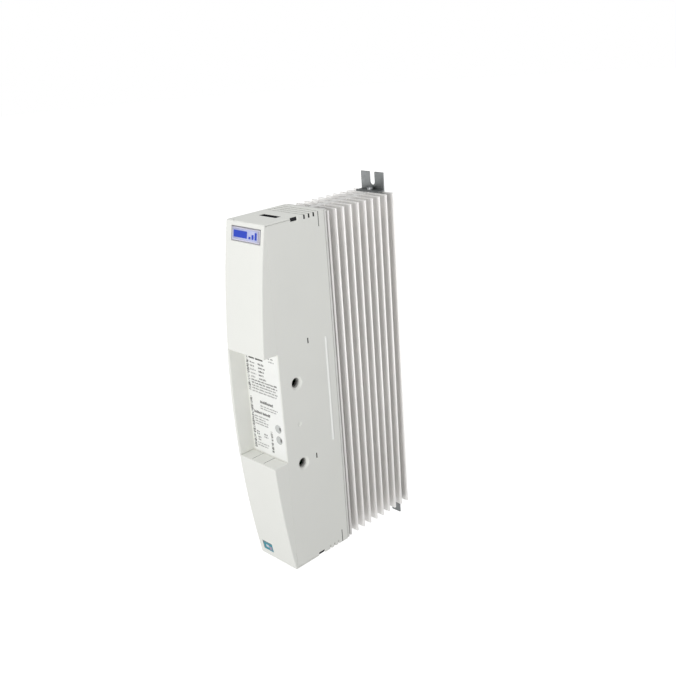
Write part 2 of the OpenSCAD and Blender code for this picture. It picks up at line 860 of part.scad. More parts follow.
module ribbon_sockets() {
    color(black_plastic) {
        block([ribbon_x - 3, power_front - 7, ribbon_z[0] - 2], [ribbon_x + 3, power_front, ribbon_z[1] + 2]);
        block([ribbon_x - 3, control_rear, ribbon_z[0] - 2], [ribbon_x + 3, control_rear + 7, ribbon_z[1] + 2]);
    }
}

// A flat cable that bends once between its two sockets
module ribbon_cable() {
    y0 = control_rear + 7;
    y1 = power_front - 7;
    r = (y1 - y0) / 2;
    color("#9EA3A8") translate([0, 0, ribbon_z[0]]) linear_extrude(ribbon_z[1] - ribbon_z[0]) {
        difference() {
            translate([ribbon_x, (y0 + y1) / 2]) circle(r = r);
            translate([ribbon_x, (y0 + y1) / 2]) circle(r = r - 1);
            rect([ribbon_x, y0 - 1], [ribbon_x + r + 1, y1 + 1]);
        }
        rect([ribbon_x - 0.01, y0], [ribbon_x + 2.5, y0 + 1]);
        rect([ribbon_x - 0.01, y1 - 1], [ribbon_x + 2.5, y1]);
    }
}

housing_tray();
front_bulkhead();
side_panel();
release_latches();
upper_cover();
lower_cover();
badge_plate();
badge_mark();
lower_emblem();
rating_label();
inspection_seals();
rear_frame();
frame_gasket();
frame_screws();
heatsink();
upper_bracket();
lower_bracket();
bracket_screws();
thermal_pads();
power_module();
rectifier_bridge();
power_board();
dc_link_capacitors();
choke_core();
choke_winding();
precharge_relay();
current_sensors();
supply_transformer();
control_board();
processor();
frame_spacers();
board_spacers();
board_screws();
mains_terminals();
mains_clamps();
mains_screws();
bus_terminals();
bus_clamps();
bus_screws();
motor_socket();
motor_pins();
motor_plug();
motor_plug_screws();
control_socket();
control_pins();
control_plug();
control_plug_screws();
encoder_socket();
dip_switch();
dip_slider(0);  // dip_slider_1
dip_slider(1);  // dip_slider_2
dip_slider(2);  // dip_slider_3
dip_slider(3);  // dip_slider_4
status_leds();
earth_bracket();
earth_screws();
ribbon_sockets();
ribbon_cable();
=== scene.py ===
"""Servo drive: a bowed white casing with a label recess, on a finned heatsink, in a pale studio."""
import json
import math
import random

import bmesh
import bpy
from mathutils import Matrix, Quaternion, Vector


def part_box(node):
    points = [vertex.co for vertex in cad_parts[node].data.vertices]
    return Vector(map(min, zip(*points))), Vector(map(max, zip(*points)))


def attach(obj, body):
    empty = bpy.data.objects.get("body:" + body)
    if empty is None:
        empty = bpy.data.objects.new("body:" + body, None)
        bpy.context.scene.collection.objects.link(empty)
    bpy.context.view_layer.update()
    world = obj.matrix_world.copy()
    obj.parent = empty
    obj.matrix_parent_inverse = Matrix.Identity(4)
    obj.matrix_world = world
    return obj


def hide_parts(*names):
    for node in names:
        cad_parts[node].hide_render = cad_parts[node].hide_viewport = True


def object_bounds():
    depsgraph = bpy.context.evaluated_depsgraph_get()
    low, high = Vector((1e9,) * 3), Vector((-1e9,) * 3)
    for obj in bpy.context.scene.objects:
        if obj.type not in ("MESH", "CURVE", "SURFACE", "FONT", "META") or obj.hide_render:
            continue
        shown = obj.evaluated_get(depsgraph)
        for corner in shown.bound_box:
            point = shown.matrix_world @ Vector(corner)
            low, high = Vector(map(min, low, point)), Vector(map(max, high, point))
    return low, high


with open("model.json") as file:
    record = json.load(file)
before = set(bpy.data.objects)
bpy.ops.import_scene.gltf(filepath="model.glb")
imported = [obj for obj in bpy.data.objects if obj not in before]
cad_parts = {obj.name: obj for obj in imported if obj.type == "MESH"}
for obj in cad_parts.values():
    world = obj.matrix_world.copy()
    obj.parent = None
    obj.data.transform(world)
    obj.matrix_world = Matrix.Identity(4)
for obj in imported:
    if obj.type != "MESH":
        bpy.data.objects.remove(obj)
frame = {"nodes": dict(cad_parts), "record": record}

CAD_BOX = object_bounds()
NODES = frame["nodes"]
BODY_OF = {node: body for body, members in frame["record"]["behaviour"]["bodies"].items() for node in members}
SLOT_OF = {part["node"]: part["material_slot"] for part in frame["record"]["subparts"]}
MM = 0.001

# In millimetres: the side panel's outer face and upper end, the module's depth, the radius and
# middle height of its bowed front, and the thickness of a printed mark and a printed patch
PANEL_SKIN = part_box("side_panel")[1].x / MM
PANEL_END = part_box("side_panel")[1].z / MM
DEPTH = 186
BOW_R = 933
BOW_Z = -2.6
PRINT_T = 0.025
PATCH_T = 0.02

# In metres: the covers' outer side, and the floor's distance below the module
COVER_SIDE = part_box("upper_cover")[1].x
FLOOR_GAP = 0.0005

# What counts as one point, as flat and as a sharp edge when a mesh is cleaned and rounded
MERGE_DISTANCE = 2e-6
FLAT_ANGLE = math.radians(0.25)
SHARP_ANGLE = math.radians(28)


# ---------- camera and light ----------

def make_camera():
    """The photograph's view: right of the front and a little above, with a slight roll."""
    data = bpy.data.cameras.new("camera")
    data.sensor_width = 36
    data.lens = 48.2
    camera = bpy.data.objects.new("camera", data)
    bpy.context.scene.collection.objects.link(camera)
    eye = Vector((0.6260, -0.6615, 0.3470))
    target = Vector((0.0014, -0.0658, 0.0346))
    roll = Quaternion((0, 0, 1), math.radians(-4.136))
    camera.rotation_mode = "QUATERNION"
    camera.location = eye
    camera.rotation_quaternion = (target - eye).to_track_quat("-Z", "Y") @ roll
    bpy.context.scene.camera = camera


def add_softbox(name, place, aim, size, power):
    """A square area light at a place, turned to a point."""
    data = bpy.data.lights.new(name, "AREA")
    data.shape = "SQUARE"
    data.size = size
    data.energy = power
    light = bpy.data.objects.new(name, data)
    light.location = Vector(place)
    light.rotation_mode = "QUATERNION"
    light.rotation_quaternion = (Vector(aim) - light.location).to_track_quat("-Z", "Y")
    bpy.context.scene.collection.objects.link(light)


def make_studio():
    """White surroundings, a small softbox in front, a large one overhead, and a pale floor.

    The floor is white to the camera, and brighter to glossy rays than to the rest."""
    scene = bpy.context.scene
    scene.view_settings.view_transform = "Standard"
    world = bpy.data.worlds.new("studio")
    scene.world = world
    world.use_nodes = True
    tree = world.node_tree
    tree.nodes.clear()
    output = tree.nodes.new("ShaderNodeOutputWorld")
    mix = tree.nodes.new("ShaderNodeMixShader")
    seen = tree.nodes.new("ShaderNodeLightPath")
    lighting = tree.nodes.new("ShaderNodeBackground")
    lighting.inputs["Color"].default_value = (0.98, 0.99, 1.0, 1)
    lighting.inputs["Strength"].default_value = 0.46
    backdrop = tree.nodes.new("ShaderNodeBackground")
    backdrop.inputs["Color"].default_value = (1, 1, 1, 1)
    tree.links.new(seen.outputs["Is Camera Ray"], mix.inputs["Fac"])
    tree.links.new(lighting.outputs["Background"], mix.inputs[1])
    tree.links.new(backdrop.outputs["Background"], mix.inputs[2])
    tree.links.new(mix.outputs["Shader"], output.inputs["Surface"])
    middle = (0, -0.1, 0)
    add_softbox("key", (0.66, -2.25, 0.48), middle, size=0.35, power=17)
    add_softbox("overhead", (0, -0.1, 2.2), middle, size=2.0, power=14.5)
    bm = bmesh.new()
    bmesh.ops.create_circle(bm, cap_ends=True, radius=6, segments=96)
    mesh = bpy.data.meshes.new("floor")
    bm.to_mesh(mesh)
    bm.free()
    floor = bpy.data.objects.new("floor", mesh)
    floor.location.z = CAD_BOX[0].z - FLOOR_GAP
    scene.collection.objects.link(floor)
    look = Look("floor", Roughness=0.9)
    look.set("Base Color", (0.28, 0.28, 0.28, 1))
    look.set("Emission Color", (1, 1, 1, 1))
    reach = look.add("VectorMath", {0: look.coordinates()}, operation="LENGTH").outputs["Value"]
    ray = look.add("LightPath").outputs
    bounce = look.spread(reach, 0.4, 1.0, start=0.4, end=2.6)
    sheen = look.spread(reach, 0.85, 2.0, start=0.08, end=0.5)
    glow = look.add("Math", {0: sheen, 1: ray["Is Glossy Ray"]}, operation="MULTIPLY").outputs[0]
    for other in (bounce, ray["Is Camera Ray"]):
        glow = look.add("Math", {0: glow, 1: other}, operation="MAXIMUM").outputs[0]
    look.drive("Emission Strength", glow)
    mesh.materials.append(look.material)


# ---------- materials ----------

class Look:
    """A procedural material on one Principled shader, in the object's own coordinates, in metres."""

    def __init__(self, name, **constants):
        self.material = bpy.data.materials.new(name)
        self.material.use_nodes = True
        self.tree = self.material.node_tree
        self.shader = self.tree.nodes["Principled BSDF"]
        for socket, value in constants.items():
            self.set(socket.replace("_", " "), value)
        self.place = None
        self.normal = None

    def set(self, socket, value):
        """A constant on the shader."""
        self.shader.inputs[socket].default_value = value

    def add(self, kind, links=None, **settings):
        """A new node; settings name its properties, or its input sockets if it has no such property."""
        node = self.tree.nodes.new("ShaderNode" + kind)
        for key, value in settings.items():
            if hasattr(node, key):
                setattr(node, key, value)
            else:
                node.inputs[key.replace("_", " ")].default_value = value
        for socket, source in (links or {}).items():
            self.tree.links.new(source, node.inputs[socket])
        return node

    def coordinates(self, stretch=(1, 1, 1)):
        """Object coordinates, multiplied along each axis."""
        if self.place is None:
            self.place = self.add("TexCoord").outputs["Object"]
        if stretch == (1, 1, 1):
            return self.place
        links = {0: self.place, 1: self.constant(stretch)}
        return self.add("VectorMath", links, operation="MULTIPLY").outputs[0]

    def constant(self, xyz):
        """Three numbers as a vector."""
        node = self.add("CombineXYZ")
        for socket, value in zip(node.inputs, xyz):
            socket.default_value = value
        return node.outputs[0]

    def noise(self, scale, detail=2.0, stretch=(1, 1, 1), distortion=0.0):
        """A noise of about one patch per 1/scale metres."""
        node = self.add("TexNoise", {"Vector": self.coordinates(stretch)}, Scale=scale, Detail=detail,
                        Distortion=distortion)
        return node.outputs["Fac"]

    def spread(self, source, low, high, start=0.3, end=0.7):
        """A source value taken from start…end to low…high."""
        node = self.add("MapRange", {"Value": source})
        for socket, value in zip(("From Min", "From Max", "To Min", "To Max"), (start, end, low, high)):
            node.inputs[socket].default_value = value
        return node.outputs["Result"]

    def tones(self, source, *stops):
        """A colour ramp: stops are (position, (r, g, b))."""
        node = self.add("ValToRGB", {"Fac": source})
        ramp = node.color_ramp
        while len(ramp.elements) < len(stops):
            ramp.elements.new(0.5)
        for element, (position, rgb) in zip(ramp.elements, stops):
            element.position = position
            element.color = (*rgb, 1)
        return node.outputs["Color"]

    def shades(self, source, rgb, dark, light):
        """A colour from dark times to light times itself."""
        return self.tones(source, (0.3, scaled(rgb, dark)), (0.7, scaled(rgb, light)))

    def blend(self, factor, first, second):
        """Two colours mixed; a plain tuple is a constant colour."""
        node = self.add("Mix", data_type="RGBA", blend_type="MIX")
        for socket, value in ((node.inputs[0], factor), (node.inputs[6], first), (node.inputs[7], second)):
            if isinstance(value, (int, float)):
                socket.default_value = value
            elif isinstance(value, tuple):
                socket.default_value = (*value, 1)
            else:
                self.tree.links.new(value, socket)
        return node.outputs[2]

    def drive(self, socket, source):
        """A node's output on the shader."""
        self.tree.links.new(source, self.shader.inputs[socket])

    def relief(self, height, depth):
        """Adds a bump of a depth in metres; several stack."""
        node = self.add("Bump", {"Height": height}, Strength=1.0, Distance=depth)
        if self.normal:
            self.tree.links.new(self.normal, node.inputs["Normal"])
        self.normal = node.outputs["Normal"]
        self.drive("Normal", self.normal)


def scaled(rgb, factor):
    """A colour made lighter or darker, with no channel above 1."""
    return tuple(min(1.0, channel * factor) for channel in rgb)


def moulded(name, rgb, roughness=0.5, grain=2600, depth=0.000012, mottling=0.015):
    """Injection-moulded plastic: spark-eroded grain, faint flow marks and handling dulling."""
    look = Look(name, IOR=1.47, Specular_IOR_Level=0.07)
    drift = look.noise(14, detail=3, stretch=(1, 1, 0.6), distortion=0.4)
    look.drive("Base Color", look.shades(drift, rgb, 1 - mottling, 1 + mottling))
    smears = look.noise(55, detail=4, stretch=(1, 1, 0.35))
    look.drive("Roughness", look.spread(smears, roughness - 0.06, roughness + 0.06))
    look.relief(look.noise(grain), depth)
    return look


def extruded(name, rgb):
    """Extruded aluminium: die lines along Z, cloudy oxide, a slight waviness, and painted shade that darkens
    the first plate, next to the casing.
    """
    look = Look(name, Metallic=0.25)
    lines = look.noise(1500, detail=3, stretch=(1, 1, 0.012))
    clouds = look.noise(30, detail=4, stretch=(1, 1, 0.4), distortion=0.5)
    streaks = look.shades(lines, rgb, 0.93, 1.05)
    tone = look.blend(look.spread(clouds, 0.0, 0.45), streaks, scaled(rgb, 0.9))
    depth = look.add("SeparateXYZ", {"Vector": look.coordinates()}).outputs["Y"]
    # Painted shade: the first plate, next to the casing, is darkened by about a quarter towards near black,
    # as if in the casing's shadow
    painted_shade_first_plate = look.spread(depth, 0.27, 0.0, start=-0.0895, end=-0.0885)
    look.drive("Base Color", look.blend(painted_shade_first_plate, tone, (0.1, 0.1, 0.1)))
    look.drive("Roughness", look.spread(lines, 0.3, 0.46))
    look.relief(look.noise(900, stretch=(1, 1, 0.01)), 0.00003)
    look.relief(look.noise(160, stretch=(1, 1, 0.05)), 0.00004)
    return look


def plated(name, rgb, roughness):
    """Zinc-plated steel: rolled grain, soft spangle and passivation clouds."""
    look = Look(name, Metallic=1.0)
    cells = look.add("TexVoronoi", {"Vector": look.coordinates()}, Scale=260.0).outputs["Color"]
    split = look.add("SeparateColor", {"Color": cells}).outputs[0]
    clouds = look.noise(90, detail=4, distortion=0.6)
    tone = look.shades(clouds, rgb, 0.8, 1.15)
    spangle = look.spread(split, 0.0, 0.3, start=0, end=1)
    look.drive("Base Color", look.blend(spangle, tone, scaled(rgb, 1.35)))
    look.drive("Roughness", look.spread(clouds, roughness - 0.08, roughness + 0.12))
    look.relief(look.noise(3000), 0.00001)
    return look


def painted(name, rgb, roughness=0.45, metallic=0.0):
    """Lacquered sheet: orange peel and a faint colour drift."""
    look = Look(name, Metallic=metallic, Coat_Weight=0.15, Coat_Roughness=0.25)
    look.drive("Base Color", look.shades(look.noise(40, detail=3), rgb, 0.97, 1.03))
    look.drive("Roughness", look.spread(look.noise(200, detail=3), roughness - 0.05, roughness + 0.05))
    look.relief(look.noise(700), 0.00001)
    return look


def film(name, rgb, roughness=0.55):
    """Printed label film: paper-like fibre tone and shallow ripples where it doesn't lie quite flat."""
    look = Look(name)
    fibre = look.noise(700, detail=4, stretch=(1, 1, 0.5))
    look.drive("Base Color", look.shades(fibre, rgb, 0.985, 1.01))
    look.drive("Roughness", look.spread(look.noise(60, detail=3), roughness - 0.08, roughness + 0.05))
    look.relief(look.noise(70), 0.00008)
    return look


def rubbery(name, rgb):
    """Rubber or soft pad: matt, with dust and fine pores."""
    look = Look(name)
    dust = look.noise(120, detail=5)
    look.drive("Base Color", look.tones(dust, (0.35, rgb), (0.8, scaled(rgb, 1.4))))
    look.drive("Roughness", look.spread(dust, 0.65, 0.85))
    look.relief(look.noise(2200, detail=3), 0.00004)
    return look


def circuit_board(name, rgb):
    """Solder resist over copper tracks: a grid of straight tracks and tinned vias."""
    look = Look(name, Coat_Weight=0.35, Coat_Roughness=0.2, IOR=1.5)
    tracks = look.add("TexBrick", {"Vector": look.coordinates((1, 0, 1))}, Scale=260.0, Mortar_Size=0.16,
                      Color1=(0, 0, 0, 1), Color2=(0, 0, 0, 1), Mortar=(1, 1, 1, 1)).outputs["Color"]
    patches = look.spread(look.noise(90, detail=1, stretch=(1, 0, 1)), 0.0, 1.0, start=0.46, end=0.5)
    laid = look.add("Math", {0: tracks, 1: patches}, operation="MULTIPLY").outputs[0]
    resist = look.blend(laid, rgb, scaled(rgb, 1.9))
    dots = look.add("TexVoronoi", {"Vector": look.coordinates((1, 0, 1))}, Scale=330.0).outputs["Distance"]
    vias = look.spread(dots, 1.0, 0.0, start=0.12, end=0.14)
    look.drive("Base Color", look.blend(vias, resist, (0.62, 0.6, 0.55)))
    look.drive("Roughness", look.spread(look.noise(400), 0.3, 0.45))
    look.relief(laid, 0.00004)
    return look


def wound(name, rgb, pitch, stretch, roughness=0.3, metallic=0.9):
    """Turns of lacquered wire or tape, as fine ridges across an axis, with painted shade darkening the
    valleys between them.
    """
    look = Look(name, Metallic=metallic, Coat_Weight=0.4, Coat_Roughness=0.15)
    ridges = look.add("TexWave", {"Vector": look.coordinates(stretch)}, Scale=math.pi / 10 / pitch,
                      Distortion=0.4, Detail=1.0).outputs["Fac"]
    # Painted shade: the colour drops to under half in the valleys of the ridges
    tone = look.tones(ridges, (0.1, scaled(rgb, 0.45)), (0.8, scaled(rgb, 1.1)))
    look.drive("Base Color", tone)
    look.drive("Roughness", look.spread(look.noise(300), roughness - 0.05, roughness + 0.1))
    look.relief(ridges, 0.0003)
    return look


def tinted_lens(name, rgb):
    """A small tinted lens, slightly cloudy inside."""
    look = Look(name, Transmission_Weight=0.3, IOR=1.5, Coat_Weight=0.5)
    haze = look.noise(900, detail=3)
    look.drive("Base Color", look.shades(haze, rgb, 1, 1.3))
    look.drive("Roughness", look.spread(haze, 0.12, 0.3))
    return look


def badge_lacquer(name, rgb):
    """Satin silver lacquer with a fine horizontal brush."""
    look = Look(name, Metallic=0.75, Coat_Weight=0.3, Coat_Roughness=0.2)
    brush = look.noise(2600, stretch=(0.02, 1, 1))
    look.drive("Base Color", look.shades(brush, rgb, 0.94, 1.05))
    look.drive("Roughness", look.spread(brush, 0.3, 0.46))
    look.relief(brush, 0.000008)
    return look


def make_looks():
    """One look for each material slot of the record, and for what is printed or added here."""
    white = (0.872, 0.876, 0.832)
    return {
        "casing_white": moulded("casing_white", white),
        "cover_white": moulded("cover_white", scaled(white, 1.005), grain=2200),
        "badge_silver": badge_lacquer("badge_silver", (0.62, 0.60, 0.72)),
        "badge_blue": moulded("badge_blue", (0.045, 0.085, 0.56), 0.32, 3000, 0.000004),
        "emblem_teal": moulded("emblem_teal", (0.05, 0.28, 0.35), 0.35, 3000, 0.000004, 0.12),
        "label_film": film("label_film", (0.925, 0.93, 0.905)),
        "seal_grey": painted("seal_grey", (0.42, 0.43, 0.42), 0.4, 0.3),
        "frame_steel": painted("frame_steel", (0.76, 0.76, 0.73)),
        "gasket_black": rubbery("gasket_black", (0.03, 0.03, 0.03)),
        "aluminium": extruded("aluminium", (0.955, 0.94, 0.92)),
        "zinc_steel": plated("zinc_steel", (0.215, 0.224, 0.226), 0.45),
        "screw_steel": plated("screw_steel", (0.42, 0.43, 0.44), 0.4),
        "earth_steel": plated("earth_steel", (0.72, 0.73, 0.72), 0.25),
        "thermal_pad": rubbery("thermal_pad", (0.42, 0.42, 0.5)),
        "module_plastic": moulded("module_plastic", (0.70, 0.67, 0.58), 0.45),
        "black_plastic": moulded("black_plastic", (0.022, 0.022, 0.025), 0.42, mottling=0.1),
        "board_green": circuit_board("board_green", (0.012, 0.085, 0.035)),
        "capacitor_sleeve": moulded("capacitor_sleeve", (0.012, 0.02, 0.06), 0.25, 900, 0.00001, 0.1),
        "ferrite": moulded("ferrite", (0.03, 0.035, 0.045), 0.55, 1400, 0.00003, 0.15),
        "copper": wound("copper", (0.75, 0.36, 0.16), 0.0012, (1, 1, 1)),
        "transformer_core": wound("transformer_core", (0.62, 0.48, 0.14), 0.004, (0, 0, 1), 0.4, 0.0),
        "plug_green": moulded("plug_green", (0.03, 0.24, 0.085), 0.42, mottling=0.04),
        "dip_red": moulded("dip_red", (0.38, 0.02, 0.015), 0.4, mottling=0.05),
        "slider_white": moulded("slider_white", (0.80, 0.80, 0.77), 0.4),
        "led_green": tinted_lens("led_green", (0.12, 0.6, 0.12)),
        # The grey of the painted shade that lines the inside of the ports
        "shade_grey": rubbery("shade_grey", (0.5, 0.5, 0.48)),
        # Dark grey for print, and for the painted shade along the badge's edges
        "print_and_painted_shade_grey": painted("print_and_painted_shade_grey", (0.20, 0.20, 0.20)),
        "print_pale_blue": painted("print_pale_blue", (0.50, 0.54, 0.80)),
        "print_rose": painted("print_rose", (0.36, 0.28, 0.40)),
        "print_pale": painted("print_pale", (0.62, 0.66, 0.72)),
        "ink_bold": film("ink_bold", (0.10, 0.10, 0.095), 0.4),
        "ink_fine": film("ink_fine", (0.30, 0.30, 0.29), 0.4),
        "ribbon_grey": wound("ribbon_grey", (0.42, 0.44, 0.47), 0.00127, (1, 0, 0), 0.5, 0.0),
    }


# ---------- pieces ----------

def dress(obj, look):
    """One material on a whole object."""
    obj.data.materials.clear()
    obj.data.materials.append(look.material)


def new_piece(name, bm, look, body):
    """A piece from a bmesh, riding on a body."""
    mesh = bpy.data.meshes.new(name)
    bm.to_mesh(mesh)
    bm.free()
    mesh.shade_smooth()
    obj = bpy.data.objects.new(name, mesh)
    bpy.context.scene.collection.objects.link(obj)
    dress(obj, look)
    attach(obj, body)
    return obj


def round_edges(obj, width, segments=1, weighted=False):
    """Rounds the sharp edges, or those with a bevel weight, and evens the shading over flat faces."""
    bevel = obj.modifiers.new("rounding", "BEVEL")
    bevel.width = width
    bevel.segments = segments
    bevel.limit_method = "WEIGHT" if weighted else "ANGLE"
    bevel.angle_limit = SHARP_ANGLE
    bevel.use_clamp_overlap = False
    bevel.miter_outer = "MITER_ARC"
    shading = obj.modifiers.new("shading", "WEIGHTED_NORMAL")
    shading.keep_sharp = True


def refined(name, node, width, wide):
    """A piece that stands for a CAD node: its faces made whole and its edges rounded.

    wide(middle, direction) gives an edge's share of the width; with None every edge has all of it."""
    bm = bmesh.new()
    bm.from_mesh(NODES[node].data)
    bmesh.ops.remove_doubles(bm, verts=bm.verts, dist=MERGE_DISTANCE)
    bmesh.ops.dissolve_limit(bm, angle_limit=FLAT_ANGLE, verts=bm.verts, edges=bm.edges)
    weights = bm.edges.layers.float.new("bevel_weight_edge")
    for edge in bm.edges:
        if len(edge.link_faces) == 2 and edge.calc_face_angle(0) > SHARP_ANGLE:
            a, b = edge.verts[0].co, edge.verts[1].co
            edge[weights] = wide((a + b) / 2, (b - a).normalized()) if wide else 1.0
            edge.smooth = edge[weights] > 0
    piece = new_piece(name, bm, LOOKS[SLOT_OF[node]], BODY_OF[node])
    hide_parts(node)
    round_edges(piece, width, segments=3, weighted=True)


def soften_node(node, width):
    """A CAD node that stays: its split faces are joined and its edges rounded by modifiers."""
    obj = NODES[node]
    dress(obj, LOOKS[SLOT_OF[node]])
    weld = obj.modifiers.new("weld", "WELD")
    weld.merge_threshold = MERGE_DISTANCE
    planar = obj.modifiers.new("planar", "DECIMATE")
    planar.decimate_type = "DISSOLVE"
    planar.angle_limit = FLAT_ANGLE
    round_edges(obj, width)


# ---------- details that the CAD leaves out ----------

def add_box(bm, low, high):
    """A closed box between two corners, in millimetres."""
    middle = [(a + b) / 2 * MM for a, b in zip(low, high)]
    size = [(b - a) * MM for a, b in zip(low, high)]
    bmesh.ops.create_cube(bm, size=1, matrix=Matrix.LocRotScale(middle, None, size))


def join_rings(bm, rings):
    """The faces between rings of vertices, each joined to the next."""
    count = len(rings[0])
    for first, second in zip(rings, rings[1:]):
        for i in range(count):
            j = (i + 1) % count
            bm.faces.new((first[i], first[j], second[j], second[i]))


def print_words(bm, rng, y, row, height, start, end, word=(1.4, 4.2)):
    """A row of illegible words, each a run of small blocks of uneven height; word is the range of lengths."""
    shortest_word, shortest_block, gap, space = 0.6, 0.2, 0.16, 0.8
    x = start
    while x < end - shortest_word:
        stop = min(x + rng.uniform(*word), end)
        while x < stop - shortest_block:
            width = min(rng.uniform(0.35, 0.75), stop - x)
            top = row + height * rng.choice((0.72, 0.72, 1.0))
            add_box(bm, (x, y - PRINT_T, row), (x + width, y, top))
            x += width + gap
        x = stop + space * rng.uniform(0.7, 1.3)


def print_code(bm, rng, y, x0, x1, low, high):
    """A column of bars of uneven thickness and width."""
    z, shortest = low, 0.3
    while z < high - shortest:
        thick = rng.choice((0.3, 0.5, 0.8, 1.2))
        add_box(bm, (x0 + rng.choice((0, 0, 0.5)), y - PRINT_T, z),
                (x1 - rng.choice((0, 0, 0.7)), y, min(z + thick, high)))
        z += thick + rng.choice((0.25, 0.4, 0.9))


def make_label_print():
    """Everything printed on the rating label, as marks without meaning, and a dark block over the right part
    of each seal.
    """
    rng = random.Random(7)
    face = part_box("rating_label")[0].y / MM + 0.005
    bold, fine = bmesh.new(), bmesh.new()
    left, code, heading = -16, (-21.2, -17.8), (42.3, 45.0)

    def words(bm, row, height, start, end, *lengths):
        """A row of words on the label's face."""
        print_words(bm, rng, face, row, height, start, end, *lengths)

    def rows(top, pitch, count):
        """The foot of each row, from the top one down."""
        return [top - pitch * i for i in range(count)]

    # The heading's two bars, and the codes up the left edge
    for start, end in ((-16.8, -8.6), (-7.4, 3.6)):
        add_box(bold, (start, face - PRINT_T, heading[0]), (end, face, heading[1]))
    for low, high in ((8.5, 44.5), (-53, 2.2)):
        print_code(bold, rng, face, *code, low, high)
    # A table of five rows, with two short lines at the right of the heading
    for title, value in zip(rows(37.6, 3.7, 5), rows(37.4, 3.7, 5)):
        words(fine, title, 1.7, left, -9 + rng.uniform(-2, 2))
        words(bold, value, 1.9, -4, 5 + rng.uniform(-2, 1), (3, 6))
    words(fine, 46.6, 1.4, 11, 19)
    words(fine, 43.6, 1.4, 12, 20.5)
    # A paragraph, and two headed notes
    for row, ink in zip(rows(19.6, 2.9, 5), (bold, bold, fine, fine, fine)):
        words(ink, row, 1.6, left, 22 + rng.uniform(-5, 1), (3, 7))
    words(bold, -2.4, 3.0, -6.5, 12.5, (18, 19))
    for row in rows(-6.0, 2.5, 2):
        words(fine, row, 1.3, -6.5, 17 + rng.uniform(-3, 2), (3, 6))
    words(bold, -14.6, 2.8, -16.8, 6.5, (11, 12))
    for row in rows(-18.6, 2.7, 4):
        words(fine, row, 1.4, -16.8, 1.5 + rng.uniform(-3, 3), (3, 7))
    # Blocks in place of the marks, the last lines and the code beside them
    for x, z, wide in ((-16.2, -35.5, 4.2), (-14.6, -41.5, 4.0), (-5.2, -36.4, 5.6)):
        words(bold, z, 2.0, x, x + wide, (1.5, 2.6))
        words(bold, z - 2.5, 1.8, x, x + wide, (1.2, 2.0))
    for row in rows(-47.4, 2.6, 2):
        words(fine, row, 1.3, -16.4, rng.uniform(-3, 1), (2, 5))
    print_code(bold, rng, face, 4.8, 7.8, -52, -29)
    # A dark block over the right part of each seal
    low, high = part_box("inspection_seals")
    seal_radius = 4.3
    for z in (low.z / MM + seal_radius, high.z / MM - seal_radius):
        add_box(bold, (18.8, low.y / MM - PRINT_T, z - 1.2), (20.8, low.y / MM + 0.005, z + 2.2))
    new_piece("label_print_bold", bold, LOOKS["ink_bold"], BODY_OF["rating_label"])
    new_piece("label_print_fine", fine, LOOKS["ink_fine"], BODY_OF["rating_label"])


def add_bowed_patch(bm, x, z, skin, thick, rows=8):
    """A thin patch that follows the bowed front, on a surface that lies skin below it."""
    def depth(height, inset):
        """The y of the surface that lies inset below the front, at a height."""
        radius = BOW_R - inset
        return BOW_R - DEPTH - math.sqrt(radius ** 2 - (height - BOW_Z) ** 2)
    heights = [z[0] + (z[1] - z[0]) * i / rows for i in range(rows + 1)]
    rings = []
    for height in heights:
        front, back = depth(height, skin - thick), depth(height, skin)
        corners = ((x[0], front), (x[1], front), (x[1], back), (x[0], back))
        rings.append([bm.verts.new((a * MM, b * MM, height * MM)) for a, b in corners])
    join_rings(bm, rings)
    bm.faces.new(rings[0][::-1])
    bm.faces.new(rings[-1])


def make_badge_print():
    """A dark rim along the badge's edges, widest at the top and right, that is painted shade of the gap
    around the plate, with a thin printed inner line at the right; a pale field printed on the badge, and a
    dark edge and two spots printed on the emblem.
    """
    rim, field, spot, edge, blush = (bmesh.new() for _ in range(5))
    left, right, bottom, top = -17.7, 22.3, 158, 171
    badge_skin, emblem_skin, rim_t = 0.3, 0.1, 0.03
    # The four edge strips are painted shade of the gap around the badge; the fifth is a printed line
    for x, z in (((left, right), (bottom, bottom + 0.5)),
                 ((left, right), (top - 0.7, top)),
                 ((left, left + 0.5), (bottom + 0.5, top - 0.7)),
                 ((right - 0.8, right), (bottom + 0.5, top - 0.7)),
                 ((right - 3.0, right - 2.4), (bottom + 1.4, top - 1.6))):
        add_bowed_patch(rim, x, z, badge_skin, rim_t)
    add_bowed_patch(field, (-16, 18.4), (159.6, 169.2), badge_skin, PATCH_T)
    for bm, x, z, rows in ((spot, (-15.6, -11.2), (-164.4, -161.2), 4),
                           (blush, (-10.8, -6.9), (-166.6, -161.8), 4),
                           (edge, (-19.9, -18.9), (-167.8, -157.7), 4),
                           (edge, (-18.9, -5.8), (-158.6, -157.7), 2)):
        add_bowed_patch(bm, x, z, emblem_skin, PATCH_T, rows)
    for name, bm, look in (("badge_rim_painted_shade_and_print", rim, "print_and_painted_shade_grey"), ("badge_field", field, "print_pale_blue")):
        new_piece(name, bm, LOOKS[look], BODY_OF["badge_plate"])
    for name, bm, look in (("emblem_spot", spot, "print_pale"), ("emblem_blush", blush, "print_rose"),
                           ("emblem_edge", edge, "print_and_painted_shade_grey")):
        new_piece(name, bm, LOOKS[look], BODY_OF["lower_emblem"])


